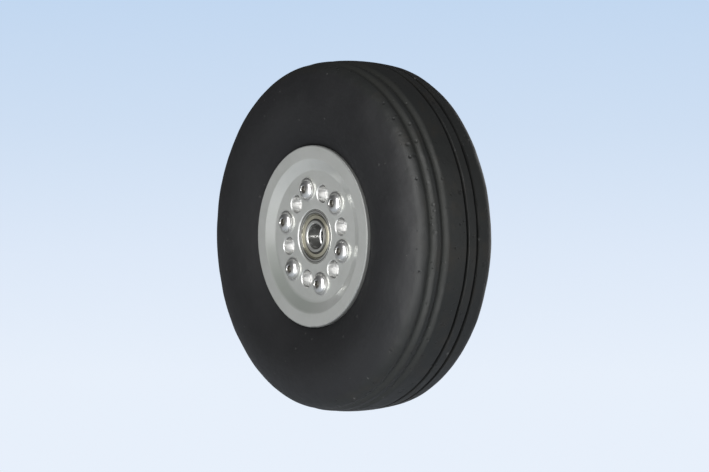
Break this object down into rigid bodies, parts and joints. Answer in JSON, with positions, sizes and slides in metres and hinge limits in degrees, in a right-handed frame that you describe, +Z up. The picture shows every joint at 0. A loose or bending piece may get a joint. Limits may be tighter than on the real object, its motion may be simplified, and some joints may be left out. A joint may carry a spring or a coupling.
{
  "type": "aircraft wheel with tyre",
  "caption": "Small aircraft wheel: grooved tubed tyre on a bolted split rim that spins on shielded ball bearings around an axle bore.",
  "frame": {"origin": "centre of the wheel, on the spin axis and in the tyre's middle plane", "axes": "+Y along the spin axis towards the valve side; the plain screw-head face looks towards -Y; +Z up"},
  "size_m": [0.26, 0.084, 0.26],
  "materials": {
    "tyre_rubber": "semi-matt black tread and sidewall rubber",
    "tube_rubber": "matt black butyl rubber",
    "valve_brass": "machined brass",
    "cap_plastic": "moulded black plastic",
    "rim_finish": "satin light grey coat on aluminium alloy",
    "screw_steel": "polished stainless steel",
    "plated_steel": "bright zinc plated steel",
    "nylon": "white nylon",
    "spacer_alloy": "turned aluminium tube",
    "bearing_steel": "ground bearing steel",
    "ball_steel": "polished bearing steel",
    "cage_steel": "pressed steel sheet",
    "shield_steel": "pressed steel with a yellowish plating",
    "wire_steel": "spring steel wire"
  },
  "bodies": {
    "axle_set": {"axle_spacer": "spacer_alloy", "front_bearing_inner_ring": "bearing_steel", "rear_bearing_inner_ring": "bearing_steel"},
    "wheel": {"tyre": "tyre_rubber", "inner_tube": "tube_rubber", "valve_stem": "valve_brass", "valve_core": "valve_brass", "valve_cap": "cap_plastic", "front_rim_half": "rim_finish", "rear_rim_half": "rim_finish", "clamp_screws": "screw_steel", "nut_washers": "plated_steel", "lock_nuts": "plated_steel", "nut_inserts": "nylon", "front_bearing_outer_ring": "bearing_steel", "front_bearing_outboard_shield": "shield_steel", "front_bearing_outboard_snap_wire": "wire_steel", "front_bearing_inboard_shield": "shield_steel", "front_bearing_inboard_snap_wire": "wire_steel", "rear_bearing_outer_ring": "bearing_steel", "rear_bearing_outboard_shield": "shield_steel", "rear_bearing_outboard_snap_wire": "wire_steel", "rear_bearing_inboard_shield": "shield_steel", "rear_bearing_inboard_snap_wire": "wire_steel"},
    "front_ball_cage": {"front_bearing_balls": "ball_steel", "front_bearing_cage_rivets": "cage_steel", "front_bearing_outboard_cage_half": "cage_steel", "front_bearing_inboard_cage_half": "cage_steel"},
    "rear_ball_cage": {"rear_bearing_balls": "ball_steel", "rear_bearing_cage_rivets": "cage_steel", "rear_bearing_outboard_cage_half": "cage_steel", "rear_bearing_inboard_cage_half": "cage_steel"}
  },
  "joints": [
    {"name": "wheel_spin", "type": "hinge", "parent": "axle_set", "child": "wheel", "pos_m": [0, 0, 0], "axis": [0, 1, 0], "continuous": true},
    {"name": "front_cage_spin", "type": "hinge", "parent": "axle_set", "child": "front_ball_cage", "pos_m": [0, -0.025, 0], "axis": [0, 1, 0], "continuous": true},
    {"name": "rear_cage_spin", "type": "hinge", "parent": "axle_set", "child": "rear_ball_cage", "pos_m": [0, 0.025, 0], "axis": [0, 1, 0], "continuous": true}
  ],
  "couplings": [
    {"joint": "front_cage_spin", "follows": "wheel_spin", "ratio": 0.6184},
    {"joint": "rear_cage_spin", "follows": "wheel_spin", "ratio": 0.6184}
  ]
}
